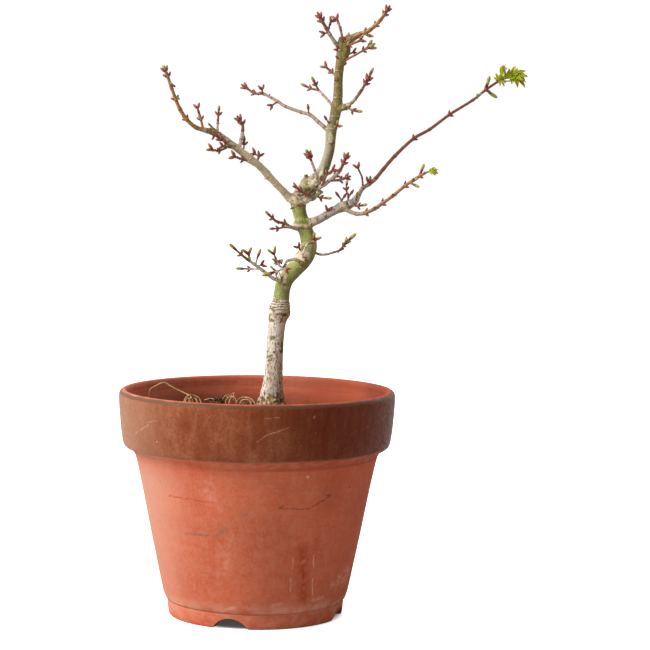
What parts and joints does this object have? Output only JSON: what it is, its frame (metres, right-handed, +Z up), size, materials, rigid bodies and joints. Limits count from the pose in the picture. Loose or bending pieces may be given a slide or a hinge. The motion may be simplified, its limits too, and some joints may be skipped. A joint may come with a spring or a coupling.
{
  "type": "potted maple bonsai",
  "caption": "Young Japanese maple bonsai just breaking bud: a curved trunk with budded shoots and two leaf tufts, in a round clay pot with a thick rim band.",
  "frame": {"origin": "on the table, at the middle of the whole outline seen from above; the pot's axis is 36 mm towards -X from it", "axes": "+Z up, -Y towards the front of the tree, +X to the viewer's right, where the long shoot points"},
  "size_m": [0.2222, 0.1502, 0.3332],
  "materials": {
    "clay": "unglazed terracotta, matte, with a thin brown glaze on the rim band",
    "soil": "dark granular bonsai soil",
    "bark": "bark, beige and corky below, green and olive above, matte",
    "shoots": "smooth red-brown twigs with red buds, some with green tips",
    "leaves": "soft new maple leaves, bright green",
    "dry_roots": "dry straw-coloured roots",
    "moss": "dark dry moss"
  },
  "bodies": {
    "root": {"pot": "clay", "soil": "soil", "wood": "bark", "left_end": "shoots", "left_bud": "shoots", "left_outer": "shoots", "left_upright": "shoots", "left_under": "shoots", "left_low": "shoots", "left_inner": "shoots", "upper_left": "shoots", "upper_left_2": "shoots", "upper_left_3": "shoots", "front_spur": "shoots", "dark_spur": "shoots", "top_left": "shoots", "top_back": "shoots", "top_right": "shoots", "top_red": "shoots", "top_small": "shoots", "top_low": "shoots", "right_mid": "shoots", "centre_spur": "shoots", "right_cluster": "shoots", "left_cluster": "shoots", "knot_spur": "shoots", "limb_pair": "shoots", "limb_spur": "shoots", "limb_upright": "shoots", "limb_green": "shoots", "limb_low": "shoots", "long_shoot": "shoots", "lower_shoot": "shoots", "left_mid": "shoots", "v_spur": "shoots", "front_shoot": "shoots", "right_small": "shoots", "low_left_1": "shoots", "low_left_2": "shoots", "long_leaves": "leaves", "lower_leaves": "leaves", "dry_strand": "dry_roots", "dry_loops": "dry_roots", "moss": "moss"}
  },
  "joints": []
}
